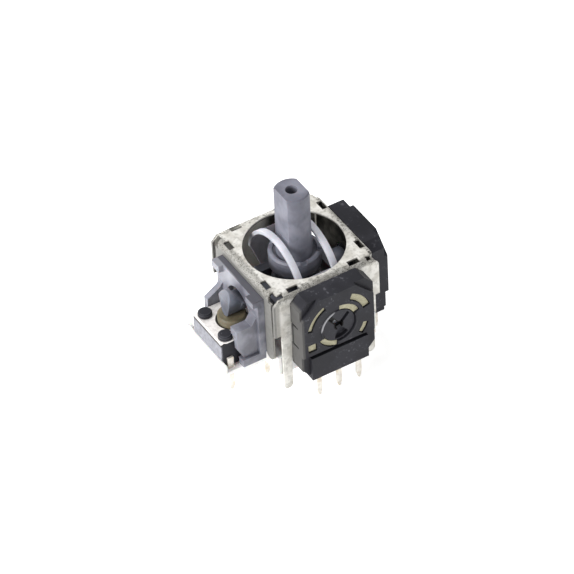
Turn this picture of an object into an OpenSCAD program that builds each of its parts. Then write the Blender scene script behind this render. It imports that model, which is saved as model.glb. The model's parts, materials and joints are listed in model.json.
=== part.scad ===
// Analog stick module of a game controller: a sprung stick in a folded metal frame,
// read by two rotary potentiometers and pressed down on to a tactile switch.
// +Z runs up the stick and z = 0 is the plane that seats on the circuit board.
// The switch is on the -X side, potentiometer A on the -Y side and B on the +X side.

/* [Stick] */
// Diameter of the shaft
stick_d = 4.0; // [3.6:0.1:4.4]
// Height of the shaft's top above the board
stick_top_z = 19.1; // [17.5:0.1:22]
// Distance across the two flats at the top
flat_across = 2.8; // [2.4:0.05:2.85]
// Distance across the flats where the shaft passes the arch
neck_across = 2.9; // [2.7:0.05:2.95]
// Height at which the top flats end
flat_end_z = 13.3; // [13.3:0.1:14.2]
// Diameter of the blind hole in the top
top_hole_d = 1.36; // [1:0.04:1.6]
// Depth of the blind hole in the top
top_hole_depth = 3.0; // [1.5:0.1:5]
// Diameter of the collar
collar_d = 5.8; // [5.2:0.1:6.2]
// Height of the collar's rim above the board
collar_top_z = 10.9; // [10.4:0.1:11.2]
// Radius of the round foot under the pivot
foot_r = 2.75; // [2.5:0.05:2.85]

/* [Mechanism] */
// Height of both tilt axes above the board
pivot_z = 6.24; // [6.0:0.02:6.5]
// Largest tilt each way, in degrees
tilt_max = 18; // [10:1:18]
// Largest press of the stick at the switch end
press_travel = 0.25; // [0.15:0.01:0.3]
// Running clearance between moving plastic pieces
play = 0.15; // [0.1:0.01:0.2]
// Running clearance of a pin in its bore
pin_play = 0.06; // [0.03:0.01:0.09]
// Diameter of the stick's cross pins
cross_pin_d = 1.9; // [1.5:0.1:2.2]

/* [Arch] */
// Gap between the two rails of the arch
rail_gap = 3.66; // [3.6:0.02:3.7]
// Width of each rail
rail_w = 0.75; // [0.6:0.01:0.78]
// Radial thickness of the rails
rail_t = 0.45; // [0.4:0.05:0.7]
// Radius of the outside of the arch
arch_r = 5.7; // [5.6:0.05:5.8]
// Height of the arch's crest above the board
arch_top_z = 13.2; // [13:0.05:13.25]

/* [Frame] */
// Height of the frame's top face above the board
frame_top_z = 11.3; // [11.2:0.1:11.8]
// Thickness of the sheet metal
sheet_t = 0.3; // [0.2:0.05:0.4]
// Outside radius of the folded edges
bend_r = 0.6; // [0.5:0.05:0.8]
// Diameter of the round opening in the top
opening_d = 11.22; // [11.1:0.02:11.4]
// Width of the top's rim where the opening comes nearest to an edge
rim_w = 0.89; // [0.84:0.01:1.19]
// Cut off each corner of the top
corner_cut = 1.3; // [1:0.1:1.6]
// Width of the board legs
leg_w = 1.1; // [0.9:0.05:1.2]
// Reach of the board legs below the board's face
leg_reach = 2.05; // [1.5:0.05:2.8]

/* [Potentiometers] */
// Width of the housings
pot_w = 9.2; // [8.8:0.1:9.3]
// Height of the housings
pot_h = 10.97; // [10.8:0.01:11.1]
// Thickness of the housing's body
pot_body_t = 1.95; // [1.9:0.05:2.3]
// Thickness of the raised front layer
pot_front_t = 0.42; // [0.3:0.02:0.6]
// Diameter of the rotor's front boss
rotor_d = 4.0; // [3.6:0.1:4.2]
// Pitch of the terminals
pin_pitch = 2.5; // [2.2:0.1:2.54]
// Width of the terminals
pin_w = 0.67; // [0.5:0.01:0.8]
// Thickness of the terminals
pin_t = 0.3; // [0.2:0.05:0.3]
// Reach of the terminals below the board's face
pin_reach = 2.95; // [2.2:0.05:3.5]

/* [Switch] */
// Width of the square switch
switch_w = 6.0; // [5.8:0.1:6.1]
// Distance from the frame's wall to the switch's centre
switch_out = 1.65; // [1.6:0.05:1.8]
// Height of the switch's underside above the board
switch_low_z = 1.3; // [1.2:0.05:1.4]
// Height of the switch's cover above the board
switch_top_z = 4.7; // [4.6:0.05:4.75]
// Diameter of the plunger
plunger_d = 3.2; // [2.8:0.1:3.3]
// Height of the plunger's top above the board
plunger_top_z = 5.55; // [5.4:0.01:5.57]
// Reach of the switch's pins below the board's face
switch_pin_reach = 2.0; // [1.5:0.1:3]

/* [Return spring] */
// Mean diameter of the coil
coil_d = 3.4; // [3:0.1:3.8]
// Diameter of the wire
wire_d = 0.3; // [0.2:0.05:0.4]
// Number of turns
coil_turns = 4; // [3:1:5]

/* [Hidden] */
$fn = 48;
eps = 0.01;
bevel = 0.15;
over = 1;

// Frame planes
half = opening_d / 2 + rim_w;
inner = half - sheet_t;
top_under_z = frame_top_z - sheet_t;
bend_low_z = frame_top_z - bend_r;
side_run = half - corner_cut;

// Frame walls
slot_long = 1.4;
slot_short = 0.7;
slot_x = half - 2.69;
slot_in = 0.64;
flap_over = 0.1;
flap_low_z = 5.85;
flap_high_z = 10.2;
flap_cut = 0.7;
leg_x = half - 1.3;
wall_low_z = 2.6;
side_wall_end = half - 0.75;
switch_gap_w = 6.8;
switch_gap_z = 8.4;
tab_w = 1.5;
tab_low_z = 1.85;
tab_high_z = 4.6;

// Tilt geometry
cross_half = 3.2;
yoke_in = 2.1;
yoke_boss_r = 1.6;
yoke_window = 3.5;
yoke_end = 4.4;
yoke_bar = 1.1;
ball_half = yoke_in - play;
collar_low_z = 9.0;
collar_neck_r = 1.6;
collar_neck_z = pivot_z + 1.6;
neck_low_z = 12.0;
rim_t = 0.45;
rim_bevel = 0.2;
notch_in = 0.45;
notch_w = 0.7;
ball_shoulder = 1.2;
groove_depth = 0.55;
arch_in_r = arch_r - rail_t;
arch_room = 0.5;
leg_y = min(arch_r, inner - arch_room);
arch_mid_z = arch_top_z - arch_r;
arch_half_w = rail_gap / 2 + rail_w;
slot_end_room = 0.38;
arch_slot_half = (arch_top_z - pivot_z) * tan(tilt_max) + stick_d / 2 / cos(tilt_max) + slot_end_room;
arch_boss_r = 1.6;
leg_lean = 20;
leg_cut = [4, 3 * half, 4.4];
leg_cut_drop = 0.6;
slot_low = 1.0;
arch_pin_r = 1.4;
washer_gap = 0.1;

// Keyed drive between a yoke and its potentiometer
key_r = 1.05;
key_flat = 0.7;
key_play = 0.1;
key_end = 1.25;
sleeve_r = 1.75;
sleeve_play = 0.08;
barrel_r = 1.5;

// Depths through a potentiometer, counted outwards from the frame's wall
disc_in = 0.45;
disc_out = 1.0;
disc_r = 2.95;
disc_play = 0.15;
wiper_t = 0.1;
wafer_in = 1.2;
wafer_out = 1.65;
boss_out = 2.25;
lobe_depth = 0.5;
centre_hole_r = 0.5;
slot_half = 0.2;
lobe_r = rotor_d / 2 - 0.18;
front_in = pot_body_t;
front_out = pot_body_t + pot_front_t;
pocket_wall = 0.6;
pocket_floor = 0.8;
wafer_gap = 0.08;
pad_gap = 0.06;
window_in_r = disc_r + 0.25;
window_out_r = 4.1;
window_mid_r = 2.8;
pad_out = pot_body_t + pot_front_t - 0.2;
slit_w = 0.12;
slit_long = 1.0;
slit_low_z = 4.5;
slit_high_z = 7.3;
rotor_gap = 0.1;
rim_ring = 0.2;
rim_rise = 0.08;
top_chamfer = 1.0;
front_chamfer = 2.2;
foot_chamfer = 0.95;
foot_chamfer_z = 1.6;
chin_half = 3.55;
chin_z = 3.1;
chin_groove = 0.5;
pin_tip = 0.8;
pin_head_z = 2.9;

// Spring seat and base
seat_top_z = pivot_z - foot_r - 0.09;
seat_t = 0.8;
seat_r = 3.3;
floor_t = 0.6;
rim_wall = 0.8;
rim_z = 2.4;
base_half = inner - 0.05;
spring_post_r = coil_d / 2 - wire_d / 2 - 0.3;
seat_under_z = seat_top_z - seat_t;

// Switch
switch_half = switch_w / 2;
switch_x = half + switch_out;
cover_t = 0.2;
cover_corner_r = 0.7;
skirt_t = 0.15;
skirt_half = switch_half - 0.1;
body_top_z = switch_top_z - cover_t;
rivet_x = 2.12;
rivet_r = 0.8;
rivet_rise = 0.55;
stem_r = 0.5;
flange_t = 0.4;
cavity_r = 2.45;
dome_r = 2.1;
dome_t = 0.08;
lift_gap = 0.05;
pressed_dome = 0.35;
flange_z = body_top_z - lift_gap - flange_t;
dome_rise = press_travel + pressed_dome;
cavity_z = flange_z - lift_gap - dome_rise;
switch_pin_x = 2.25;
switch_pin_w = 0.7;
switch_pin_t = 0.25;
switch_pin_gap = 0.05;
switch_pin_point = 0.5;
switch_pin_tip = 0.15;
switch_pin_z = switch_low_z + 1.3;
tray_t = 0.4;
tray_z = 2.3;
tray_half = 4.3;
tray_wall_x = half + 2.9;
bracket_t = 0.8;
bracket_top_z = 9.9;
bracket_in = 3.3;
floor_near = 3.9;
floor_far = 4.2;
floor_end_x = switch_x + switch_half + 0.3;
floor_rim_t = 0.25;
floor_rim_z = tray_z - 0.1;
lug_r = 0.45;
lug_hole_r = 0.15;
lug_top_z = 2.0;
block_x = 1.4;
block_in = 2.8;
far_block_z = 9.0;
near_block_z = 9.1;
wing_end_x = half + 2.8;
wing_end_z = 5.6;
wing_knee_x = half + 1.2;
wing_knee_z = 6.6;
wing_root_z = 7.6;
shelf_end_x = half + 3.35;
shelf_in_x = half + 1.5;
shelf_z = 6.4;
shelf_under_z = switch_top_z + 0.7;
shelf_in = 2.6;
wing_in = 3.15;
wing_out = 3.9;
finger_tip_r = pivot_z - plunger_top_z - 0.03;
finger_top = 2.6;
finger_half = 1.1;
finger_in = half + bracket_t + play;
finger_out = half + 2.5;
finger_neck = 1.2;
finger_nose = 0.45;

plated = [0.86, 0.85, 0.80];
shaft_grey = [0.56, 0.56, 0.61];
yoke_grey = [0.45, 0.45, 0.50];
arch_white = [0.86, 0.86, 0.90];
natural_white = [0.93, 0.93, 0.92];
lilac_grey = [0.62, 0.61, 0.68];
black_plastic = [0.19, 0.19, 0.21];
phenolic = [0.71, 0.69, 0.56];
spring_steel = [0.70, 0.71, 0.72];
beige = [0.66, 0.58, 0.47];

// Places a flat outline, drawn as seen from outside, on the side of the frame that faces -Y
// before the turn, from depth near to depth far outside the wall.
module on_side(turn, near, far) {
    rotate([0, 0, turn]) translate([0, -half - near, 0]) rotate([90, 0, 0])
        linear_extrude(far - near) children();
}

// A round disc or bore across a side, about the tilt axis
module round_on_side(turn, near, far, radius) {
    on_side(turn, near, far) translate([0, pivot_z]) circle(radius);
}

// An outline mirrored to both ends of a side
module both_ends() {
    children();
    mirror([1, 0]) children();
}

// Part of a ring between two radii, from one angle to another
module ring_sector(low_r, high_r, from, to) {
    steps = 12;
    polygon(concat(
        [for (i = [0:steps]) high_r * [cos(from + (to - from) * i / steps), sin(from + (to - from) * i / steps)]],
        [for (i = [steps:-1:0]) low_r * [cos(from + (to - from) * i / steps), sin(from + (to - from) * i / steps)]]));
}

// Circle with two flats, the section of a keyed drive
module double_d(radius, flat) {
    intersection() {
        circle(radius);
        square([2 * radius + eps, 2 * flat], center = true);
    }
}

// Frame

module frame_top_outline() {
    difference() {
        intersection() {
            square(2 * (half - bend_r) + eps, center = true);
            rotate(45) square((2 * half - corner_cut) * sqrt(2), center = true);
        }
        circle(d = opening_d, $fn = 96);
    }
}

module frame_bend(turn) {
    rotate([0, 0, turn]) translate([half - bend_r, 0, bend_low_z]) rotate([90, 0, 0])
        linear_extrude(2 * side_run, center = true) intersection() {
            difference() {
                circle(bend_r);
                circle(bend_r - sheet_t);
            }
            square(bend_r);
        }
}

module leg_outline() {
    translate([leg_x - leg_w / 2, leg_w / 2 - leg_reach])
        square([leg_w, flap_low_z + leg_reach - leg_w / 2 + eps]);
    translate([leg_x, leg_w / 2 - leg_reach]) circle(d = leg_w);
}

module flap_outline() {
    flap_x = half + flap_over;
    polygon([[side_run - 1, flap_low_z], [flap_x, flap_low_z], [flap_x, flap_high_z],
             [flap_x - flap_cut, flap_high_z + flap_cut], [side_run - 1, flap_high_z + flap_cut]]);
}

// Wall with the two board legs and the corner flaps
module legged_wall() {
    translate([-side_run, wall_low_z]) square([2 * side_run, bend_low_z - wall_low_z + eps]);
    both_ends() {
        flap_outline();
        leg_outline();
    }
}

module plain_wall() {
    translate([-side_run, bend_low_z - 1]) square([2 * side_run, 1 + eps]);
    translate([-side_wall_end, wall_low_z]) square([2 * side_wall_end, bend_low_z - 0.6 - wall_low_z]);
}

// Wall over the switch, open in the middle for the rocker's arm
module switch_wall() {
    difference() {
        union() {
            translate([-side_run, bend_low_z - 1]) square([2 * side_run, 1 + eps]);
            translate([-side_wall_end, tab_high_z])
                square([2 * side_wall_end, bend_low_z - 0.6 - tab_high_z]);
            both_ends() {
                translate([side_wall_end - tab_w, tab_low_z + tab_w / 2])
                    square([tab_w, tab_high_z - tab_low_z]);
                translate([side_wall_end - tab_w / 2, tab_low_z + tab_w / 2]) circle(d = tab_w);
            }
        }
        translate([-switch_gap_w / 2, 0]) square([switch_gap_w, switch_gap_z]);
    }
}

module frame() {
    color(plated) difference() {
        union() {
            translate([0, 0, top_under_z]) linear_extrude(sheet_t) frame_top_outline();
            for (turn = [0:90:270]) frame_bend(turn);
            on_side(0, -sheet_t, 0) legged_wall();
            on_side(180, -sheet_t, 0) legged_wall();
            on_side(90, -sheet_t, 0) plain_wall();
            on_side(270, -sheet_t, 0) switch_wall();
        }
        for (turn = [0:90:270], side = [-1, 1])
            rotate([0, 0, turn]) translate([side * slot_x, -half + slot_in, frame_top_z])
                cube([slot_long, slot_short, 3 * sheet_t], center = true);
        for (turn = [0, 90]) round_on_side(turn, -1, 1, sleeve_r + sleeve_play);
        round_on_side(180, -1, 1, cross_pin_d / 2 + pin_play);
    }
}

// Base

module base() {
    color(natural_white) difference() {
        union() {
            translate([-base_half, -base_half, 0]) cube([2 * base_half, 2 * base_half, floor_t]);
            difference() {
                translate([-base_half, -base_half, 0]) cube([2 * base_half, 2 * base_half, rim_z]);
                translate([rim_wall - base_half, rim_wall - base_half, floor_t])
                    cube([2 * (base_half - rim_wall), 2 * (base_half - rim_wall), rim_z]);
            }
            translate([0, 0, floor_t - eps]) cylinder(r = spring_post_r, h = 0.9);
            translate([-floor_end_x, -floor_near, switch_low_z - tray_t])
                cube([floor_end_x - base_half + 1, floor_near + floor_far, tray_t]);
            translate([-floor_end_x, -floor_near, switch_low_z - tray_t])
                cube([floor_rim_t, floor_near + floor_far, floor_rim_z - switch_low_z + tray_t]);
            for (side = [-1, 1])
                translate([-tray_wall_x, side > 0 ? bracket_in : -floor_far, switch_low_z - tray_t])
                    cube([tray_wall_x - base_half + 0.5, floor_far - bracket_in, tray_z - switch_low_z + tray_t]);
            translate([-switch_x - switch_half, floor_far, switch_low_z - tray_t])
                cylinder(r = lug_r, h = lug_top_z - switch_low_z + tray_t);
        }
        translate([-switch_x - switch_half, floor_far, switch_low_z]) cylinder(r = lug_hole_r, h = 2);
        // Pocket for the end of the switch that reaches inside the rim
        translate([-switch_x - switch_half - 0.05, -switch_half - 0.05, switch_low_z])
            cube([switch_w + 0.1, switch_w + 0.1, rim_z]);
        for (x = [-1, 1], side = [-1, 1])
            translate([x * switch_pin_x - switch_x, side * (switch_half + switch_pin_gap + switch_pin_t / 2), 0])
                cube([switch_pin_w + 0.2, switch_pin_t + 0.3, 4 * rim_z], center = true);
    }
}

// Stick

module collar_profile() {
    collar_r = collar_d / 2;
    polygon([[0, collar_neck_z - 1], [collar_neck_r, collar_neck_z - 1], [collar_neck_r, collar_neck_z],
             [collar_r, collar_low_z], [collar_r, collar_top_z - rim_bevel],
             [collar_r - rim_bevel, collar_top_z],
             [collar_r - rim_t, collar_top_z], [collar_r - rim_t, collar_top_z - groove_depth],
             [0, collar_top_z - groove_depth]]);
}

module stick() {
    color(shaft_grey) difference() {
        union() {
            translate([0, 0, collar_top_z - over]) cylinder(d = stick_d, h = stick_top_z - bevel - collar_top_z + over);
            translate([0, 0, stick_top_z - bevel]) cylinder(d1 = stick_d, d2 = stick_d - 2 * bevel, h = bevel);
            rotate_extrude() collar_profile();
            // Round foot and the cross pins that the rocker carries
            intersection() {
                translate([0, 0, pivot_z]) sphere(r = foot_r);
                translate([-foot_r, -ball_half, pivot_z - foot_r])
                    cube([2 * foot_r, 2 * ball_half, foot_r + ball_shoulder]);
            }
            translate([0, 0, pivot_z]) rotate([90, 0, 0])
                cylinder(d = cross_pin_d, h = 2 * cross_half, center = true);
        }
        for (side = [-1, 1]) {
            translate([side * (flat_across + stick_d) / 2, 0, (flat_end_z + stick_top_z + over) / 2])
                cube([stick_d, 2 * stick_d, stick_top_z + over - flat_end_z], center = true);
            translate([side * (neck_across + stick_d) / 2, 0, (flat_end_z + neck_low_z) / 2])
                cube([stick_d, 2 * stick_d, flat_end_z - neck_low_z + eps], center = true);
        }
        translate([0, 0, stick_top_z - top_hole_depth]) cylinder(d = top_hole_d, h = top_hole_depth + 1);
        // Notches in the collar's rim
        for (turn = [-100, -40, 80, 140])
            rotate([0, 0, turn]) translate([collar_d / 2 - notch_in, 0, collar_top_z])
                cube([2 * notch_in + eps, notch_w, notch_w], center = true);
    }
}

// Rocker: the lower yoke, with the finger that presses the switch

// Across the finger: round below, so that a tilt leaves the switch alone, and a round lobe on top
module finger_section() {
    hull() {
        circle(finger_tip_r, $fn = 32);
        translate([0, finger_top - finger_half]) circle(finger_half, $fn = 32);
    }
}

// Along the finger: tall at its nose, and low where the arm carries it
module finger_side() {
    polygon([[-finger_in, -finger_tip_r], [-finger_out, -finger_tip_r], [-finger_out, finger_top - 2 * finger_nose],
             [finger_nose - finger_out, finger_top], [2 * finger_nose - finger_out, finger_top - 0.1],
             [-finger_in, finger_neck]]);
}

module across_x(low_x, high_x) {
    translate([low_x, 0, pivot_z]) rotate([90, 0, 90]) linear_extrude(high_x - low_x) children();
}

module rocker() {
    color(yoke_grey) difference() {
        union() {
            difference() {
                translate([-yoke_end, -cross_half, pivot_z - yoke_bar])
                    cube([2 * yoke_end, 2 * cross_half, 2 * yoke_bar]);
                translate([-yoke_window, -yoke_in, pivot_z - yoke_bar - 1])
                    cube([2 * yoke_window, 2 * yoke_in, 2 * yoke_bar + 2]);
            }
            for (side = [-1, 1])
                translate([0, side * (cross_half + yoke_in) / 2, pivot_z]) rotate([90, 0, 0])
                    cylinder(r = yoke_boss_r, h = cross_half - yoke_in, center = true);
            across_x(yoke_end - eps, half - 0.5) circle(barrel_r);
            across_x(half - 0.6, half + key_end) double_d(key_r, key_flat);
            across_x(-finger_in - eps, eps - yoke_end) hull() {
                circle(finger_tip_r, $fn = 32);
                translate([-finger_neck, finger_neck - 0.3]) square([2 * finger_neck, 0.3]);
            }
            intersection() {
                across_x(-finger_out, -finger_in) finger_section();
                translate([0, 0, pivot_z]) rotate([90, 0, 0])
                    linear_extrude(3 * finger_half, center = true) finger_side();
            }
        }
        translate([0, 0, pivot_z]) rotate([90, 0, 0])
            cylinder(d = cross_pin_d + 2 * pin_play, h = 2 * cross_half + 1, center = true);
    }
}

// Arch: the upper yoke, two rails that the stick slides between

// The rails' round crest on two straight legs, which stay inside the frame's walls
module arch_band(radius, side_y) {
    intersection() {
        union() {
            translate([0, arch_mid_z]) circle(radius, $fn = 96);
            translate([-side_y, 0]) square([2 * side_y, arch_mid_z]);
        }
        translate([-side_y - eps, 0]) square([2 * (side_y + eps), arch_top_z + eps]);
    }
}

module arch_side_view() {
    difference() {
        arch_band(arch_r, leg_y);
        arch_band(arch_in_r, leg_y - rail_t);
        translate([-half, 0]) square([2 * half, pivot_z - arch_boss_r]);
    }
}

module arch() {
    color(arch_white) {
        difference() {
            translate([-arch_half_w, 0, 0]) rotate([90, 0, 90]) linear_extrude(2 * arch_half_w) arch_side_view();
            translate([-rail_gap / 2, -arch_slot_half, arch_mid_z + slot_low])
                cube([rail_gap, 2 * arch_slot_half, arch_r]);
            // Legs taper to the boss round each pivot
            for (side = [-1, 1])
                translate([side * (arch_boss_r + leg_cut[0] / 2), 0, pivot_z - leg_cut_drop])
                    rotate([0, side * leg_lean, 0]) cube(leg_cut, center = true);
        }
        on_side(0, leg_y - half - eps, key_end) translate([0, pivot_z]) double_d(key_r, key_flat);
        on_side(180, leg_y - half - eps, -sheet_t - washer_gap) translate([0, pivot_z]) circle(arch_pin_r);
        on_side(180, -sheet_t - 2 * washer_gap, washer_gap) translate([0, pivot_z]) circle(d = cross_pin_d);
    }
}

// Return spring and its seat

module spring_seat() {
    color(natural_white) {
        translate([0, 0, seat_under_z]) cylinder(r = seat_r, h = seat_t);
        translate([0, 0, seat_under_z - 0.6]) cylinder(r = spring_post_r, h = 0.6 + eps);
    }
}

module return_spring() {
    ring_sides = 8;
    rings_per_turn = 20;
    rings = rings_per_turn * coil_turns;
    low_z = floor_t + wire_d / 2;
    high_z = seat_under_z - wire_d / 2;
    // The first and last turns lie flat, and the turns between them climb
    climb = function (t) low_z + (high_z - low_z) * (t < 1 ? 0.12 * t : t > coil_turns - 1
        ? 1 - 0.12 * (coil_turns - t) : 0.12 + 0.76 * (t - 1) / (coil_turns - 2));
    rim = function (i, k) let (turn = 360 * i / rings_per_turn, around = 360 * k / ring_sides,
        reach = coil_d / 2 + wire_d / 2 * cos(around))
        [reach * cos(turn), reach * sin(turn), climb(i / rings_per_turn) + wire_d / 2 * sin(around)];
    color(spring_steel) polyhedron(
        points = [for (i = [0:rings], k = [0:ring_sides - 1]) rim(i, k)],
        faces = concat(
            [[for (k = [0:ring_sides - 1]) k]],
            [for (i = [0:rings - 1], k = [0:ring_sides - 1]) let (next = (k + 1) % ring_sides, row = i * ring_sides)
                [row + k, row + ring_sides + k, row + ring_sides + next, row + next]],
            [[for (k = [ring_sides - 1:-1:0]) rings * ring_sides + k]]));
}

// Switch and its bracket

// The two wings beside the switch, seen from the side: a sloping one far from the board's front
// edge and one with a level shelf that reaches over the switch
module far_wing() {
    polygon([[half, tray_z], [half, wing_root_z], [half + bracket_t, wing_root_z - 0.4], [wing_knee_x, wing_knee_z],
             [wing_end_x, wing_end_z], [wing_end_x, tray_z]]);
}

module near_wing() {
    polygon([[half, tray_z], [half, wing_root_z + 0.2], [half + bracket_t, wing_root_z - 0.2], [shelf_in_x, shelf_z],
             [shelf_end_x, shelf_z], [shelf_end_x - 0.1, shelf_z - 2.7], [shelf_in_x + 1, tray_z]]);
}

module wing(from, to) {
    translate([0, to, 0]) rotate([90, 0, 0]) mirror([1, 0, 0]) linear_extrude(to - from) children();
}

module switch_bracket() {
    color(lilac_grey) {
        difference() {
            union() {
                translate([-half - bracket_t, -tray_half, tray_z])
                    cube([bracket_t, 2 * tray_half, bracket_top_z - tray_z]);
                translate([-half - block_x, block_in, far_block_z])
                    cube([block_x, tray_half - block_in, bracket_top_z - far_block_z]);
                translate([-half - block_x, -tray_half, near_block_z])
                    cube([block_x, tray_half - block_in, bracket_top_z - near_block_z]);
            }
            round_on_side(270, -1, 3, yoke_in + play);
            translate([-half - 2 * block_x, -switch_half - play, 0])
                cube([3 * block_x, switch_w + 2 * play, switch_top_z + rivet_rise + 0.2]);
        }
        wing(wing_in, wing_out) far_wing();
        wing(-wing_out, -wing_in) near_wing();
        wing(-wing_in - eps, -shelf_in) intersection() {
            near_wing();
            translate([0, shelf_under_z]) square(shelf_end_x);
        }
    }
}

module at_switch(z) {
    translate([-switch_x, 0, z]) children();
}

module switch_body() {
    color(black_plastic) {
        difference() {
            at_switch((switch_low_z + body_top_z) / 2)
                cube([switch_w, switch_w, body_top_z - switch_low_z], center = true);
            at_switch(cavity_z) cylinder(r = cavity_r, h = 5);
        }
        for (x = [-1, 1], y = [-1, 1]) translate([x * rivet_x, y * rivet_x, 0]) {
            at_switch(body_top_z - eps) cylinder(r = stem_r, h = cover_t + 2 * eps);
            at_switch(switch_top_z) cylinder(r = rivet_r, h = rivet_rise - bevel);
            at_switch(switch_top_z + rivet_rise - bevel) cylinder(r1 = rivet_r, r2 = rivet_r - bevel, h = bevel);
        }
    }
}

module switch_cover() {
    color(plated) difference() {
        union() {
            at_switch(body_top_z) linear_extrude(cover_t) offset(r = cover_corner_r)
                square(switch_w - 2 * cover_corner_r, center = true);
            at_switch(tray_z) translate([-switch_half - skirt_t, -skirt_half, 0])
                cube([skirt_t + cover_t, 2 * skirt_half, switch_top_z - tray_z - 0.1]);
        }
        at_switch(0) cylinder(d = plunger_d + 2 * pin_play, h = 9);
        for (x = [-1, 1], y = [-1, 1]) translate([x * rivet_x, y * rivet_x, 0])
            at_switch(0) cylinder(r = stem_r, h = 9);
        at_switch(0) translate([-switch_half, -switch_half - 1, 0]) cube([switch_w, switch_w + 2, body_top_z]);
    }
}

module switch_plunger() {
    color(beige) {
        at_switch(flange_z) cylinder(r = cavity_r - play, h = flange_t);
        at_switch(flange_z) cylinder(d = plunger_d, h = plunger_top_z - flange_z - bevel);
        at_switch(plunger_top_z - bevel - eps)
            cylinder(d1 = plunger_d, d2 = plunger_d - 2 * bevel, h = bevel + eps);
    }
}

module switch_dome() {
    ball_r = (dome_r * dome_r + dome_rise * dome_rise) / (2 * dome_rise);
    color(spring_steel) at_switch(cavity_z) difference() {
        intersection() {
            translate([0, 0, dome_rise - ball_r]) sphere(r = ball_r, $fn = 96);
            cylinder(r = cavity_r, h = 2);
        }
        translate([0, 0, dome_rise - ball_r - dome_t]) sphere(r = ball_r, $fn = 96);
    }
}

module switch_terminals() {
    w = switch_pin_w / 2;
    tip_z = switch_pin_point - switch_pin_reach;
    color(beige) for (x = [-1, 1], side = [0, 180])
        translate([x * switch_pin_x - switch_x, 0, 0]) rotate([0, 0, side])
            translate([0, -switch_half - switch_pin_t - switch_pin_gap, 0]) {
                translate([-w, 0, tip_z]) cube([switch_pin_w, switch_pin_t, switch_pin_z - tip_z]);
                translate([0, switch_pin_t, 0]) rotate([90, 0, 0]) linear_extrude(switch_pin_t)
                    polygon([[-w, tip_z], [w, tip_z], [switch_pin_tip, -switch_pin_reach],
                             [-switch_pin_tip, -switch_pin_reach]]);
                translate([-w, 0, switch_pin_z - switch_pin_t])
                    cube([switch_pin_w, switch_pin_t + switch_pin_gap, switch_pin_t]);
            }
}

// Potentiometer: turn is 0 for A on the -Y side and 90 for B on the +X side

module housing_outline() {
    w = pot_w / 2;
    polygon([[-w + foot_chamfer, 0.6], [w - foot_chamfer, 0.6], [w, foot_chamfer_z], [w, pot_h - top_chamfer],
             [w - top_chamfer, pot_h], [top_chamfer - w, pot_h], [-w, pot_h - top_chamfer], [-w, foot_chamfer_z]]);
    translate([-chin_half, 0]) square([2 * chin_half, 1]);
    translate([0, pivot_z]) circle(disc_r + disc_play + pocket_wall);
}

// Space for the board and the rotor's disc, less a margin all round
module pocket_outline(margin) {
    translate([pocket_wall + margin - pot_w / 2, pocket_floor + margin])
        square([pot_w - 2 * (pocket_wall + margin), pot_h - pocket_floor - pocket_wall - 2 * margin]);
    translate([0, pivot_z]) circle(disc_r + disc_play - margin);
}

module front_outline() {
    w = pot_w / 2;
    difference() {
        polygon([[-w, chin_z + chin_groove], [w - 0.2, chin_z + chin_groove], [w - 0.2, pot_h - front_chamfer],
                 [w - front_chamfer - 0.2, pot_h], [front_chamfer - w, pot_h], [-w, pot_h - front_chamfer]]);
        translate([0, pivot_z]) circle(rotor_d / 2 + rotor_gap);
    }
    translate([-chin_half, 0]) square([2 * chin_half, chin_z]);
}

module housing_windows() {
    intersection() {
        translate([0, pivot_z]) {
            ring_sector(window_in_r, window_out_r, 17, 65);
            ring_sector(rotor_d / 2, window_mid_r, 22, 88);
            ring_sector(window_in_r + 0.2, window_out_r - 0.1, 117, 168);
            ring_sector(rotor_d / 2, window_mid_r - 0.05, 204, 264);
            ring_sector(window_in_r - 0.05, window_out_r - 0.25, -42, -18);
            translate([-window_out_r, -2.1]) square([1.25, 1.05]);
        }
        pocket_outline(wafer_gap);
    }
}

// Slits that free a latch in the housing's wall, open to the frame's side
module latch_slits(turn) {
    on_side(turn, -eps, slit_long) for (z = [slit_low_z, slit_high_z])
        translate([-pot_w / 2 - 0.5, z]) square([1.0, slit_w]);
    on_side(turn, -eps, slit_w) translate([-pot_w / 2 - 0.5, slit_low_z]) square([1.0, slit_high_z - slit_low_z]);
}

module pot_housing(turn) {
    color(black_plastic) difference() {
        union() {
            on_side(turn, 0, front_in) housing_outline();
            on_side(turn, front_in - eps, front_out) front_outline();
            on_side(turn, front_out - eps, front_out + rim_rise) translate([0, pivot_z]) difference() {
                circle(rotor_d / 2 + rotor_gap + rim_ring);
                circle(rotor_d / 2 + rotor_gap);
            }
        }
        on_side(turn, -1, wafer_out) pocket_outline(0);
        on_side(turn, wafer_out - eps, 5) housing_windows();
        round_on_side(turn, 0, 5, rotor_d / 2 + rotor_gap);
        latch_slits(turn);
        on_side(turn, wafer_out - eps, wafer_out + pin_t) for (i = [-1:1])
            translate([i * pin_pitch - pin_w / 2 - 0.03, -1]) square([pin_w + 0.06, pin_head_z + 1.03]);
    }
}

module pot_wafer(turn) {
    color(phenolic) difference() {
        union() {
            on_side(turn, wafer_in, wafer_out) pocket_outline(wafer_gap);
            // Raised pads that fill the housing's windows from behind
            on_side(turn, wafer_out - eps, pad_out) offset(delta = -pad_gap) housing_windows();
        }
        round_on_side(turn, 0, 5, rotor_d / 2 + rotor_gap);
    }
}

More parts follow.
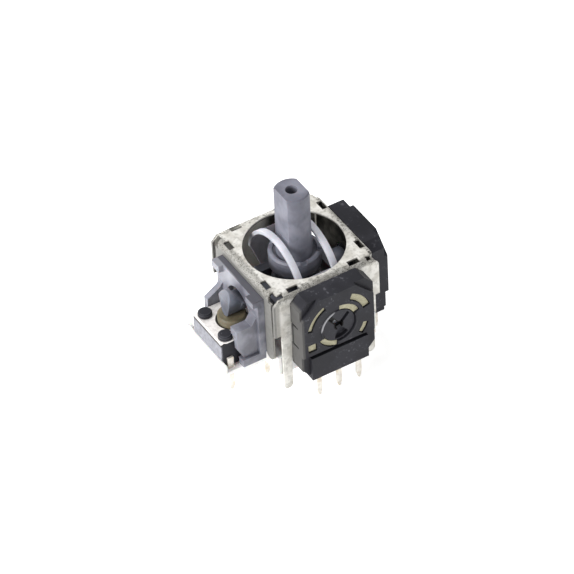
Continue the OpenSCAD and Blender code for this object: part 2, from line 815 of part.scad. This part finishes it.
module pot_rotor(turn) {
    color(black_plastic) difference() {
        union() {
            round_on_side(turn, -sheet_t, disc_in + eps, sleeve_r);
            round_on_side(turn, disc_in, disc_out, disc_r);
            round_on_side(turn, disc_out - eps, boss_out, rotor_d / 2);
        }
        on_side(turn, -1, key_end + key_play) translate([0, pivot_z]) double_d(key_r + key_play, key_flat + key_play);
        round_on_side(turn, key_end, 5, centre_hole_r);
        // The slots between the lobes and the sunk quarter in the front of the boss
        on_side(turn, boss_out - lobe_depth, 5) translate([0, pivot_z]) {
            rotate(127) translate([0, -slot_half]) square([lobe_r, 2 * slot_half]);
            rotate(45) translate([0, -slot_half - 0.03]) square([lobe_r, 2 * slot_half + 0.06]);
            ring_sector(slot_half, lobe_r, -108, -48);
        }
    }
}

module pot_wiper(turn) {
    color(spring_steel) {
        on_side(turn, disc_out, disc_out + wiper_t) translate([0, pivot_z]) difference() {
            circle(disc_r - 0.1);
            circle(rotor_d / 2 + 0.02);
            translate([-5, -0.6]) square([10, 1.2]);
        }
        for (angle = [60, 120])
            on_side(turn, disc_out + wiper_t - eps, wafer_in - 0.03) translate([0, pivot_z])
                rotate(angle) translate([disc_r - 0.45, 0]) circle(0.22, $fn = 24);
    }
}

module pot_terminals(turn) {
    color(plated) on_side(turn, wafer_out, wafer_out + pin_t) for (i = [-1:1]) translate([i * pin_pitch, 0])
        polygon([[-pin_w / 2, pin_head_z], [-pin_w / 2, pin_tip - pin_reach], [-0.12, -pin_reach],
                 [0.12, -pin_reach], [pin_w / 2, pin_tip - pin_reach], [pin_w / 2, pin_head_z]]);
}

module pot_a_housing() { pot_housing(0); }
module pot_a_wafer() { pot_wafer(0); }
module pot_a_rotor() { pot_rotor(0); }
module pot_a_wiper() { pot_wiper(0); }
module pot_a_terminals() { pot_terminals(0); }
module pot_b_housing() { pot_housing(90); }
module pot_b_wafer() { pot_wafer(90); }
module pot_b_rotor() { pot_rotor(90); }
module pot_b_wiper() { pot_wiper(90); }
module pot_b_terminals() { pot_terminals(90); }

frame();
base();
stick();
rocker();
arch();
spring_seat();
return_spring();
switch_bracket();
switch_body();
switch_cover();
switch_plunger();
switch_dome();
switch_terminals();
pot_a_housing();
pot_a_wafer();
pot_a_rotor();
pot_a_wiper();
pot_a_terminals();
pot_b_housing();
pot_b_wafer();
pot_b_rotor();
pot_b_wiper();
pot_b_terminals();
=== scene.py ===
# %% [markdown]
# # Analog stick module
# The object is the sprung stick of a game controller. A folded, tin-plated frame holds a stick that
# slides between the rails of a white arch and turns in a grey rocker. Two black potentiometers read the
# tilts, and a small switch on the left feels the press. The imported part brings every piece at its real
# size, so this script adds what a camera sees: eased edges, finishes, light and the view.

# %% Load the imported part
import json
from math import cos, radians, sin

import bmesh
import bpy
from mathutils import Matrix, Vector

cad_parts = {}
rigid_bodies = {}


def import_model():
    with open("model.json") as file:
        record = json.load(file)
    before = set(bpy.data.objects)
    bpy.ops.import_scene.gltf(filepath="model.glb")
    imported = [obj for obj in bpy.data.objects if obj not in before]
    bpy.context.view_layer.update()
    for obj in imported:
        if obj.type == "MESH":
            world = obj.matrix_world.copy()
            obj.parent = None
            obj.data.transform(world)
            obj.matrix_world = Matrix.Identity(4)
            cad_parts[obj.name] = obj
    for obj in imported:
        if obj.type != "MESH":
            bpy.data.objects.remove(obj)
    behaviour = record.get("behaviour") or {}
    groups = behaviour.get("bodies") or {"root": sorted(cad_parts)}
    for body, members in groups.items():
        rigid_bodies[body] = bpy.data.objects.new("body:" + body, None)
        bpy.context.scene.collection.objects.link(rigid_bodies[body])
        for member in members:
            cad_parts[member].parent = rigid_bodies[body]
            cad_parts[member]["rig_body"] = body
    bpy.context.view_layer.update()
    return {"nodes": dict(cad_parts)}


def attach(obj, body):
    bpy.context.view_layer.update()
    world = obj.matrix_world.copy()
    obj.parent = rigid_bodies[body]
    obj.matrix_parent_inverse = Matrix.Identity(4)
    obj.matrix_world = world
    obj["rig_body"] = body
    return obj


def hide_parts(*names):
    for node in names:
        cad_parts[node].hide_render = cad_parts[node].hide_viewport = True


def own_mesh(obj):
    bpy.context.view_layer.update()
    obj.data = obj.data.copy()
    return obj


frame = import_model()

MM = 0.001
print("pieces in the part:", len(frame["nodes"]))

# %% [markdown]
# ## A way to write shader maths
# A procedural finish is mostly arithmetic on noise. Wiring Math nodes one by one hides that, so a small
# class wraps an output socket and overloads the operators. A formula such as 1 - mask then adds its own
# nodes. Every node comes from one method that takes its type, settings and inputs. A place on a piece is
# given in millimetres as a pair, where its mask starts to rise and where it is full.

# %% Wires and paints
class Wire:
    """An output socket that formulas can use."""

    def __init__(self, paint, socket):
        self.paint = paint
        self.socket = socket

    def maths(self, operation, first, second):
        return self.paint.node("ShaderNodeMath", {"operation": operation}, {0: first, 1: second})

    def __add__(self, other):
        return self.maths("ADD", self, other)

    def __sub__(self, other):
        return self.maths("SUBTRACT", self, other)

    def __rsub__(self, other):
        return self.maths("SUBTRACT", other, self)

    def __mul__(self, other):
        return self.maths("MULTIPLY", self, other)

    def __truediv__(self, other):
        return self.maths("DIVIDE", self, other)

    def __pow__(self, other):
        return self.maths("POWER", self, other)

    __radd__ = __add__
    __rmul__ = __mul__

    def larger(self, other):
        return self.maths("MAXIMUM", self, other)

    def size(self):
        return self.maths("ABSOLUTE", self, 0)

    def rise(self, low, high):
        """0 below low, 1 above high, and a smooth step between them. It falls where low is above high."""
        inputs = {"Value": self, "From Min": min(low, high), "From Max": max(low, high)}
        step = self.paint.node("ShaderNodeMapRange", {"interpolation_type": "SMOOTHSTEP"}, inputs)
        return step if low < high else 1 - step


class Paint:
    """A material in the making, with its Principled shader and its object coordinates."""

    def __init__(self, name, **constants):
        self.material = bpy.data.materials.new(name)
        self.material.use_nodes = True
        self.tree = self.material.node_tree
        self.shader = self.tree.nodes["Principled BSDF"]
        self.place = self.node("ShaderNodeTexCoord", output="Object")
        for socket, value in constants.items():
            self.shader.inputs[socket.replace("_", " ")].default_value = value

    def node(self, kind, settings=None, inputs=None, output=0):
        new = self.tree.nodes.new(kind)
        for setting, value in (settings or {}).items():
            setattr(new, setting, value)
        for key, value in (inputs or {}).items():
            self.feed(new.inputs[key], value)
        return Wire(self, new.outputs[output])

    def feed(self, socket, value):
        if isinstance(value, Wire):
            self.tree.links.new(value.socket, socket)
        else:
            socket.default_value = value

    def axis(self, letter):
        """One object coordinate, in millimetres."""
        split = self.node("ShaderNodeSeparateXYZ", None, {0: self.place}, output=letter)
        return split / MM

    def grain(self, grain_mm, detail=3.0, stretch=(1, 1, 1), shift=0.0):
        """Noise whose blobs are about grain_mm across, drawn out along the axes by stretch."""
        scale = tuple(1 / (grain_mm * MM * s) for s in stretch)
        moved = {"Vector": self.place, "Scale": scale, "Location": (shift,) * 3}
        where = self.node("ShaderNodeMapping", None, moved)
        return self.node("ShaderNodeTexNoise", None, {"Vector": where, "Scale": 1.0, "Detail": detail})

    def scratches(self, width_mm, stretch, shift=0.0):
        """Short, straight streaks: the peaks of a noise that is drawn out one way."""
        return self.grain(width_mm, 1.0, stretch, shift).rise(0.66, 0.74)

    def blend(self, mask, first, second):
        inputs = {0: mask, 6: first, 7: second}
        return self.node("ShaderNodeMix", {"data_type": "RGBA"}, inputs, output=2)

    def worn(self):
        """1 on the eased edges of a piece, 0 elsewhere."""
        return self.node("ShaderNodeAttribute", {"attribute_name": "worn"}, output="Fac")

    def finish(self, colour, roughness, height=None, depth_mm=0.02, **others):
        self.feed(self.shader.inputs["Base Color"], colour)
        self.feed(self.shader.inputs["Roughness"], roughness)
        for socket, value in others.items():
            self.feed(self.shader.inputs[socket], value)
        if height is not None:
            relief = {"Height": height, "Strength": 1.0, "Distance": depth_mm * MM}
            self.feed(self.shader.inputs["Normal"], self.node("ShaderNodeBump", None, relief))
        return self.material


def tone(red, green, blue):
    """A colour given from 0 to 255, as a screen shows it, in the linear values that a shader takes."""
    linear = [c / 255 / 12.92 if c < 11 else ((c / 255 + 0.055) / 1.055) ** 2.4 for c in (red, green, blue)]
    return (*linear, 1.0)


# %% [markdown]
# ## Tin-plated sheet
# The frame is thin steel with a dull tin plate. Its top looks almost white, with grey clouds, and it has
# dark specks where the plate is rubbed through, most of all along the folds. The left and front folds are
# greyer, the left wall has painted shade, and the inside of the walls has painted shade, except for the far
# one, which has painted light. Tin with its oxide is only partly a mirror, so the shader is a third metallic
# and rough.

# %% The frame's finish
FOLD_SIDE, FOLD_Z = (5.3, 6.2), (10.0, 10.8)
GREY_FOLD_SIDE, FRONT_FOLD_Z = (-5.7, -6.1), (10.4, 10.9)
SHADED_LEFT_WALL_X, SHADED_LEFT_WALL_Z = (-6.30, -6.42), (10.6, 10.2)
INSIDE_SIDE, INSIDE_Z = (6.29, 6.22), (11.2, 11.02)
FAR_WALL_Y, FAR_WALL_X = (5.9, 6.1), (0.8, -0.8)


def tin_plate():
    paint = Paint("tin_plate", Specular_IOR_Level=0.5)
    clouds = paint.grain(1.3, 5.0)
    patches = paint.grain(0.42, 5.0, shift=7.0)
    specks = paint.grain(0.10, 4.0, shift=3.0).larger(paint.grain(0.12, 3.0, (4, 1, 1), 11.0) * 0.97)
    side = paint.axis("X").size().larger(paint.axis("Y").size())
    height = paint.axis("Z")
    fold = side.rise(*FOLD_SIDE) * height.rise(*FOLD_Z)
    colour = paint.blend(clouds.rise(0.42, 0.62), tone(232, 230, 224), tone(208, 205, 197))
    colour = paint.blend(patches.rise(0.48, 0.64) * (0.30 + 0.5 * fold), colour, tone(148, 146, 138))
    left = paint.axis("X").rise(*GREY_FOLD_SIDE) * 0.65
    front = paint.axis("Y").rise(*GREY_FOLD_SIDE) * height.rise(*FRONT_FOLD_Z) * 0.50
    grey = paint.blend(patches, tone(96, 94, 90), tone(150, 148, 142))
    colour = paint.blend(left.larger(front), colour, grey)
    # Painted shade on the left wall.
    left_wall_shade = height.rise(*SHADED_LEFT_WALL_Z) * paint.axis("X").rise(*SHADED_LEFT_WALL_X)
    colour = paint.blend(left_wall_shade * 0.85, colour, paint.blend(patches, tone(106, 106, 104), tone(146, 145, 141)))
    rubbed = specks.rise(0.52, 0.66) * (patches * 0.9 + fold * 0.42 + paint.worn() * 0.10).rise(0.60, 0.86)
    colour = paint.blend(rubbed * 0.9, colour, tone(58, 55, 50))
    # Painted shade inside the walls, and painted light on the far wall.
    inside = side.rise(*INSIDE_SIDE) * height.rise(*INSIDE_Z)
    lit_far_wall = paint.axis("Y").rise(*FAR_WALL_Y) * paint.axis("X").rise(*FAR_WALL_X)
    inside_shade_and_light = paint.blend(clouds.rise(0.4, 0.6), tone(84, 82, 75), tone(46, 44, 40))
    inside_shade_and_light = paint.blend(lit_far_wall, inside_shade_and_light, paint.blend(clouds, tone(250, 248, 240), tone(215, 212, 200)))
    colour = paint.blend(inside, colour, inside_shade_and_light)
    roughness = 0.48 + 0.2 * clouds + 0.2 * rubbed
    return paint.finish(colour, roughness, patches - rubbed * 0.8, 0.02, Metallic=0.34 - 0.32 * rubbed)


# %% [markdown]
# ## Grey mouldings
# Stick, rocker, arch, bracket, base, spring seat and plunger are smooth mouldings of nylon or acetal. They
# differ in tone, so one function makes them all: a soft cloudiness, a faint flow grain and paler edges.
# Five places have a colour of their own, found by their coordinates: painted shade in the hole in the
# stick's top, a painted highlight on the ledge of its collar, painted shade in the well below that, the dark
# top of the bracket and a painted sheen high on the bracket's outer face.

# %% The mouldings' finish
HOLE_R, HOLE_Z = (0.70, 0.66), (19.0, 18.6)
LEDGE_IN, LEDGE_OUT, LEDGE_FROM, LEDGE_TO = (1.98, 2.05), (3.3, 3.0), (10.2, 10.35), (11.1, 11.0)
WELL_IN, WELL_OUT, WELL_FROM, WELL_TO = (1.95, 2.15), (4.6, 4.2), (5.0, 6.0), (10.1, 9.5)
BRACKET_TOP_X, BRACKET_TOP_Z = (-6.4, -6.5), (9.78, 9.86)
SHEEN_X, SHEEN_Y, SHEEN_Z = (-7.1, -7.25), (-1.2, 1.6), (6.8, 8.8)


def moulding(name, body, pale, dark, rough=0.42, scuff=0.35):
    paint = Paint(name, Subsurface_Weight=0.08, Subsurface_Scale=0.6 * MM)
    clouds = paint.grain(2.2, 3.0)
    flow = paint.grain(0.5, 4.0, (1, 1, 3), 5.0)
    colour = paint.blend(clouds.rise(0.35, 0.7), body, pale)
    colour = paint.blend(flow.rise(0.55, 0.75) * 0.35, colour, dark)
    colour = paint.blend(paint.worn() * (0.25 + scuff * flow), colour, pale)
    x, y, height = paint.axis("X"), paint.axis("Y"), paint.axis("Z")
    across = (x ** 2 + y ** 2) ** 0.5
    # Painted shade in the hole in the stick's top.
    colour = paint.blend(across.rise(*HOLE_R) * height.rise(*HOLE_Z), colour, tone(40, 40, 46))
    # Painted highlight on the ledge of the collar.
    ledge_highlight = across.rise(*LEDGE_IN) * across.rise(*LEDGE_OUT)
    ledge_highlight = ledge_highlight * height.rise(*LEDGE_FROM) * height.rise(*LEDGE_TO)
    colour = paint.blend(ledge_highlight * 0.55, colour, pale)
    # Painted shade in the well below the collar.
    well_shade = across.rise(*WELL_IN) * across.rise(*WELL_OUT) * height.rise(*WELL_FROM) * height.rise(*WELL_TO)
    colour = paint.blend(well_shade * 0.6, colour, tone(46, 46, 51))
    colour = paint.blend(x.rise(*BRACKET_TOP_X) * height.rise(*BRACKET_TOP_Z), colour, dark)
    # Painted sheen high on the bracket's outer face.
    painted_sheen = x.rise(*SHEEN_X) * height.rise(*SHEEN_Z) * y.rise(*SHEEN_Y)
    colour = paint.blend(painted_sheen * 0.38, colour, tone(198, 199, 208))
    return paint.finish(colour, rough + 0.16 * flow, flow, 0.012)


# %% [markdown]
# ## Black housings
# The potentiometers are black filled plastic. It isn't even: handling leaves grey rubs, pale edges and
# short, straight hairlines, and the surface has the fine texture of the mould. The scuffs come from two
# noises that have to agree, so that they lie in groups. Potentiometer A's left flank has painted light and
# three dark slits round its latch, a pale arc of painted highlight lies on the rim round its rotor, and one
# slot and the middle of that rotor have painted shade.

# %% The black finishes
def black_plastic(name, body=tone(38, 38, 43), rub=tone(104, 104, 110), rough=0.46, marked=None):
    paint = Paint(name, Specular_IOR_Level=0.18)
    clouds = paint.grain(2.6, 4.0)
    texture = paint.grain(0.09, 2.0, shift=2.0)
    scuffs = paint.grain(0.35, 3.0, shift=9.0).rise(0.58, 0.74) * clouds.rise(0.42, 0.62)
    lines = paint.scratches(0.07, (9, 9, 1), 4.0) * clouds.rise(0.48, 0.6)
    marks = scuffs.larger(lines * 0.7).larger(paint.worn() * (0.2 + 0.5 * clouds))
    colour = paint.blend(clouds.rise(0.3, 0.75), body, tone(48, 48, 54))
    colour = paint.blend(marks * 0.75, colour, rub)
    if marked:
        colour = marked(paint, clouds, colour)
    return paint.finish(colour, rough + 0.14 * clouds + 0.2 * marks, texture * 0.5 + clouds, 0.015)


def within(value, low, high, soft=0.03):
    """1 between low and high, 0 outside, with soft steps."""
    return value.rise(low - soft, low + soft) * value.rise(high + soft, high - soft)


LIT_FLANK_X, LIT_FLANK_Y = (-4.2, -4.5), (-6.4, -6.6)
SLIT_TOP, SLIT_BOTTOM, SLIT_BACK_Y = (7.22, 7.46), (4.42, 4.66), -7.0
SLIT_X, SLIT_Y = (-4.5, -4.55), (-7.95, -6.8)
PIVOT_Z = 6.24
RIM_R, RIM_ALONG, RIM_FACE_Y = (2.10, 2.30), (1.72, 1.95), (-8.8, -8.86)
ROTOR_SLOT, ROTOR_MIDDLE, ROTOR_FACE_Y = (0.34, 0.28), (0.66, 0.58), (-8.0, -8.1)


def housing_marks(paint, clouds, colour):
    """Painted light on the flank, dark latch slits joined by a third, and an arc of painted highlight on the
    rim round the rotor.
    """
    x, y, height = paint.axis("X"), paint.axis("Y"), paint.axis("Z")
    # Painted light on potentiometer A's left flank.
    lit_flank = x.rise(*LIT_FLANK_X) * y.rise(*LIT_FLANK_Y)
    colour = paint.blend(lit_flank * 0.85, colour, paint.blend(clouds, tone(102, 101, 99), tone(76, 75, 74)))
    ends = within(height, *SLIT_TOP).larger(within(height, *SLIT_BOTTOM)) * within(y, *SLIT_Y)
    slits = ends.larger(within(height, SLIT_BOTTOM[0], SLIT_TOP[1]) * within(y, SLIT_BACK_Y, SLIT_Y[1]))
    colour = paint.blend(slits * x.rise(*SLIT_X), colour, tone(8, 8, 9))
    rise = height - PIVOT_Z
    round_rotor = (x ** 2 + rise ** 2) ** 0.5
    # Painted highlight in an arc on the rim round the rotor.
    rim_highlight = within(round_rotor, *RIM_R) * (rise * 0.64 - x * 0.77).rise(*RIM_ALONG) * y.rise(*RIM_FACE_Y)
    return paint.blend(rim_highlight * 0.85, colour, tone(176, 176, 180))


def rotor_marks(paint, clouds, colour):
    """Painted shade in one slot and the middle of the rotor."""
    x, rise = paint.axis("X"), paint.axis("Z") - PIVOT_Z
    middle = (x ** 2 + rise ** 2) ** 0.5
    along = rise * 0.80 - x * 0.60
    across = (rise * 0.60 + x * 0.80).size()
    # Painted shade in one slot and the middle of the rotor.
    slot = across.rise(*ROTOR_SLOT) * within(along, 0.0, 1.8)
    deep_shade = slot.larger(middle.rise(*ROTOR_MIDDLE)) * paint.axis("Y").rise(*ROTOR_FACE_Y)
    return paint.blend(deep_shade, colour, tone(6, 6, 7))


# %% [markdown]
# ## Board, springs and pins
# The resistive boards behind the windows are beige resin paper with a fine fibre. Springs are bright steel
# with a drawn grain, and the pins are tinned, softly mottled and a little yellow where the tin is thin. The
# switch's cover is bright sheet whose skirt has painted shade, with a painted shadow line under the fold
# and a ring of painted shade where the plunger comes through.

# %% The other finishes
def resin_board():
    paint = Paint("resin_board")
    fibre = paint.grain(0.12, 4.0, (3, 1, 1))
    colour = paint.blend(fibre.rise(0.35, 0.7), tone(184, 179, 150), tone(160, 155, 126))
    return paint.finish(colour, 0.55 + 0.1 * fibre, fibre, 0.01)


def bright_steel():
    paint = Paint("bright_steel")
    drawn = paint.grain(0.2, 3.0, (4, 4, 1))
    colour = paint.blend(drawn, tone(196, 197, 200), tone(150, 151, 156))
    return paint.finish(colour, 0.25 + 0.2 * drawn, drawn, 0.006, Metallic=0.92 - 0.1 * drawn)


def tinned_brass():
    paint = Paint("tinned_brass")
    mottle = paint.grain(0.5, 3.0)
    thin = paint.grain(0.8, 2.0, shift=4.0).rise(0.5, 0.72)
    colour = paint.blend(mottle.rise(0.35, 0.75), tone(238, 234, 226), tone(216, 210, 200))
    colour = paint.blend(thin * 0.5, colour, tone(206, 186, 150))
    return paint.finish(colour, 0.3 + 0.25 * mottle, mottle, 0.01, Metallic=0.5 - 0.2 * mottle)


PLUNGER_X = -8.15
SKIRT_Z, SKIRT_FOLD_Z, PLUNGER_RING = (4.58, 4.54), (4.22, 4.28), (1.86, 1.78)


def cover_sheet():
    paint = Paint("cover_sheet")
    mottle = paint.grain(0.4, 4.0)
    lines = paint.scratches(0.06, (1, 12, 1), 6.0)
    colour = paint.blend(mottle.rise(0.4, 0.7), tone(253, 249, 246), tone(230, 225, 222))
    height = paint.axis("Z")
    skirt = height.rise(*SKIRT_Z)
    # Painted shade on the skirt, the cover's side.
    side = paint.blend(mottle.rise(0.3, 0.7), tone(146, 147, 156), tone(122, 122, 130))
    colour = paint.blend(skirt, colour, side)
    across = ((paint.axis("X") - PLUNGER_X) ** 2 + paint.axis("Y") ** 2) ** 0.5
    # Painted shadow under the fold and painted shade in a ring round the plunger.
    fold_and_ring_shadow = (skirt * height.rise(*SKIRT_FOLD_Z)).larger(across.rise(*PLUNGER_RING))
    colour = paint.blend(fold_and_ring_shadow, colour, tone(44, 41, 38))
    metallic = (0.6 - 0.2 * mottle) * (1 - 0.8 * skirt)
    return paint.finish(colour, 0.38 + 0.2 * mottle + 0.1 * lines, mottle, 0.01, Metallic=metallic)


# %% [markdown]
# ## Eased edges
# No moulded or punched piece has a perfectly sharp edge, and the thin highlight along an edge is what makes
# a small part look real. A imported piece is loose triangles, so a copy is merged, its flat triangles are
# joined to whole faces, and its sharp edges are bevelled. The new faces are marked as worn, so that a finish
# can rub them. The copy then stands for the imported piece.

# %% Ease the edges of a copy
SHARP = radians(32)
FLAT = radians(0.6)
MERGE = 0.002 * MM
ROUNDING = {"affect": "EDGES", "segments": 2, "profile": 0.5, "material": -1}


def show(shape, name, material, body, sharp=SHARP):
    """Makes an object of a finished shape that rides on a body."""
    mesh = bpy.data.meshes.new(name)
    shape.to_mesh(mesh)
    shape.free()
    mesh.materials.append(material)
    mesh.shade_smooth()
    mesh.set_sharp_from_angle(angle=sharp)
    piece = bpy.data.objects.new(name, mesh)
    bpy.context.scene.collection.objects.link(piece)
    even = piece.modifiers.new("even", "WEIGHTED_NORMAL")
    even.keep_sharp = True
    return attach(piece, body)


def stand_in(piece, node):
    """Lets a finished piece stand for an imported one, which it hides."""
    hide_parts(node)
    return piece


def eased(node, radius_mm, material):
    source = frame["nodes"][node]
    shape = bmesh.new()
    shape.from_mesh(source.data)
    bmesh.ops.remove_doubles(shape, verts=shape.verts, dist=MERGE)
    bmesh.ops.dissolve_limit(shape, angle_limit=FLAT, verts=shape.verts, edges=shape.edges)
    edges = [e for e in shape.edges if e.is_manifold and e.calc_face_angle(0) > SHARP]
    worn = shape.faces.layers.float.new("worn")
    held = {"offset_type": "OFFSET", "clamp_overlap": True}
    new = bmesh.ops.bevel(shape, geom=edges, offset=radius_mm * MM, **held, **ROUNDING)
    for face in new["faces"]:
        face[worn] = 1.0
    print(node, "faces:", len(shape.faces), "eased:", len(new["faces"]))
    return stand_in(show(shape, node + "_eased", material, source["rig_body"]), node)


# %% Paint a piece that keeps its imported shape
def repaint(node, material):
    for slot in frame["nodes"][node].material_slots:
        slot.material = material


# %% Dress every piece
tin = tin_plate()
natural = moulding("natural_white", tone(240, 240, 238), tone(246, 246, 245), tone(222, 220, 214), 0.45)
shaft = moulding("shaft_grey", tone(105, 106, 118), tone(132, 133, 145), tone(88, 88, 100), 0.42)
yoke = moulding("yoke_grey", tone(84, 86, 95), tone(110, 114, 126), tone(52, 53, 60), 0.38)
white = moulding("arch_white", tone(194, 194, 203), tone(214, 214, 222), tone(176, 174, 180), 0.38)
lilac = moulding("bracket_lilac", tone(99, 99, 109), tone(143, 144, 154), tone(80, 80, 88), 0.30)
tan = moulding("plunger_tan", tone(92, 86, 66), tone(126, 116, 94), tone(76, 68, 50), 0.40)
black = black_plastic("black_housing", marked=housing_marks)
satin_black = black_plastic("rotor_black", tone(44, 44, 50), tone(96, 96, 102), 0.40, rotor_marks)
board = resin_board()
steel = bright_steel()
pins = tinned_brass()
sheet = cover_sheet()
print("finishes:", len(bpy.data.materials))

eased("frame", 0.05, tin)
eased("base", 0.08, natural)
eased("stick", 0.09, shaft)
eased("rocker", 0.10, yoke)
eased("arch", 0.07, white)
eased("switch_bracket", 0.12, lilac)
eased("switch_body", 0.07, black)
eased("switch_cover", 0.05, sheet)
eased("switch_plunger", 0.06, tan)
eased("switch_terminals", 0.04, pins)
eased("spring_seat", 0.08, natural)
for letter in "ab":
    eased(f"pot_{letter}_housing", 0.08, black)
    eased(f"pot_{letter}_rotor", 0.06, satin_black)
    eased(f"pot_{letter}_terminals", 0.06, pins)
    repaint(f"pot_{letter}_wafer", board)
    repaint(f"pot_{letter}_wiper", steel)

# %% [markdown]
# ## Coil spring and snap dome
# Both are spring steel and give way when the stick is pressed: the coil shortens on the base, and the dome
# flattens on the switch's floor. Each is shown as a smooth steel copy of its imported piece.

# %% Smooth steel copies
def springy(node, height_mm, travel_mm):
    shape = bmesh.new()
    shape.from_mesh(frame["nodes"][node].data)
    bmesh.ops.remove_doubles(shape, verts=shape.verts, dist=MERGE)
    body = frame["nodes"][node]["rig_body"]
    piece = stand_in(show(shape, node + "_steel", steel, body, radians(60)), node)
    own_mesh(piece)
    print(node, "shortens by", travel_mm, "of", height_mm, "mm")


springy("return_spring", 2.0, 0.12)
springy("switch_dome", 0.6, 0.25)

# %% [markdown]
# ## Feet of the bracket and lip of the base
# The photograph shows the lilac bracket reaching down beside the switch as two low feet, which cap the
# white tray. The base has a thin lip that locates it inside the folded walls, so that no light passes
# between them. Both are short bars, so each starts as a cube that is sized, moved and bevelled.

# %% Bars between two corners
def bars(name, corners, bevel_mm, material):
    """One fixed piece made of bars that are each given by two corners."""
    shape = bmesh.new()
    for low, high in corners:
        made = bmesh.ops.create_cube(shape, size=1.0)["verts"]
        low, high = Vector(low) * MM, Vector(high) * MM
        bmesh.ops.scale(shape, vec=high - low, verts=made)
        bmesh.ops.translate(shape, vec=(high + low) / 2, verts=made)
    worn = shape.faces.layers.float.new("worn")
    for face in bmesh.ops.bevel(shape, geom=shape.edges[:], offset=bevel_mm * MM, **ROUNDING)["faces"]:
        face[worn] = 1.0
    print(name, "bars:", len(corners), "faces:", len(shape.faces))
    return show(shape, name, material, "root")


FOOT_OUT, FOOT_IN, FOOT_X, FOOT_Z = 4.24, 3.27, (-9.43, -6.52), (1.35, 2.33)
LIP_OUT, LIP_IN, LIP_START_X, LIP_Z = 6.18, 5.95, -5.6, (2.30, 3.00)


def pair(out, near, x, z):
    """Two bars along X, one on each side, from near to out."""
    return [((x[0], y, z[0]), (x[1], y + out - near, z[1])) for y in (-out, near)]


bars("bracket_feet", pair(FOOT_OUT, FOOT_IN, FOOT_X, FOOT_Z), 0.06, lilac)
lips = pair(LIP_OUT, LIP_IN, (LIP_START_X, LIP_OUT), LIP_Z)
lips.append(((LIP_IN, -LIP_IN, LIP_Z[0]), (LIP_OUT, LIP_IN, LIP_Z[1])))
bars("base_lip", lips, 0.04, natural)

# %% [markdown]
# ## Floor, light and view
# The module stands on its pins on a white table in soft light. A broad lamp at the left gives the stick and
# the bracket their bright sides, a weaker one above lights the top, and a bright surround keeps the shadows
# light. The camera stands where a fit to the photograph puts it, taken as half a metre off: 42 degrees up and
# 29 degrees round from the front.

# %% The floor
PIN_TIP_Z = -2.95 * MM
FLOOR_GAP = 0.01 * MM
floor_shape = bmesh.new()
bmesh.ops.create_grid(floor_shape, x_segments=1, y_segments=1, size=1.5)
bmesh.ops.translate(floor_shape, verts=floor_shape.verts, vec=(0, 0, PIN_TIP_Z - FLOOR_GAP))
floor_mesh = bpy.data.meshes.new("floor")
floor_shape.to_mesh(floor_mesh)
floor_shape.free()
floor = bpy.data.objects.new("floor", floor_mesh)
bpy.context.scene.collection.objects.link(floor)
paper = Paint("paper", Emission_Color=(1, 1, 1, 1), Emission_Strength=0.55)
floor_mesh.materials.append(paper.finish(tone(250, 250, 250), 0.9 + 0.05 * paper.grain(2.0)))
print("floor at", round((PIN_TIP_Z - FLOOR_GAP) / MM, 2), "mm")

# %% The lights
def lamp(name, place, aim, size, watts):
    light = bpy.data.lights.new(name, "AREA")
    light.shape = "DISK"
    light.size = size
    light.energy = watts
    stand = bpy.data.objects.new(name, light)
    bpy.context.scene.collection.objects.link(stand)
    stand.location = place
    stand.rotation_euler = (Vector(aim) - Vector(place)).to_track_quat("-Z", "Y").to_euler()
    print(name, "lamp:", watts, "W,", size, "m across")


centre = Vector((0, 0, 6 * MM))
lamp("key", (-0.42, 0.02, 0.26), centre, 0.25, 1.95)
lamp("top", (-0.05, 0.15, 0.50), centre, 0.30, 1.1)
world = bpy.data.worlds.new("surround")
world.use_nodes = True
world.node_tree.nodes["Background"].inputs["Color"].default_value = (1, 1, 1, 1)
world.node_tree.nodes["Background"].inputs["Strength"].default_value = 0.45
bpy.context.scene.world = world
bpy.context.scene.view_settings.view_transform = "Standard"

# %% The camera
TURN = radians(29.36)
LIFT = radians(42.24)
ROLL = radians(-3.09)
DISTANCE = 500 * MM
PIXELS_PER_MM = 9.291
IMAGE_WIDTH = 574
AIM = Vector((0, 0, 9 * MM))
OFF_RIGHT = -0.861 * MM
OFF_UP = -2.874 * MM

towards = Vector((-sin(TURN) * cos(LIFT), -cos(TURN) * cos(LIFT), sin(LIFT)))
level_right = Vector((cos(TURN), -sin(TURN), 0))
level_up = towards.cross(level_right)
right = cos(ROLL) * level_right + sin(ROLL) * level_up
up = cos(ROLL) * level_up - sin(ROLL) * level_right
lens = bpy.data.cameras.new("view")
lens.sensor_width = 36
lens.lens = PIXELS_PER_MM * DISTANCE / MM / IMAGE_WIDTH * lens.sensor_width
lens.clip_start = 0.01
camera = bpy.data.objects.new("view", lens)
bpy.context.scene.collection.objects.link(camera)
place = AIM + OFF_RIGHT * right + OFF_UP * up + DISTANCE * towards
for row in range(3):
    camera.matrix_world[row][0] = right[row]
    camera.matrix_world[row][1] = up[row]
    camera.matrix_world[row][2] = towards[row]
    camera.matrix_world[row][3] = place[row]
bpy.context.scene.camera = camera
print("lens:", round(lens.lens, 1), "mm")
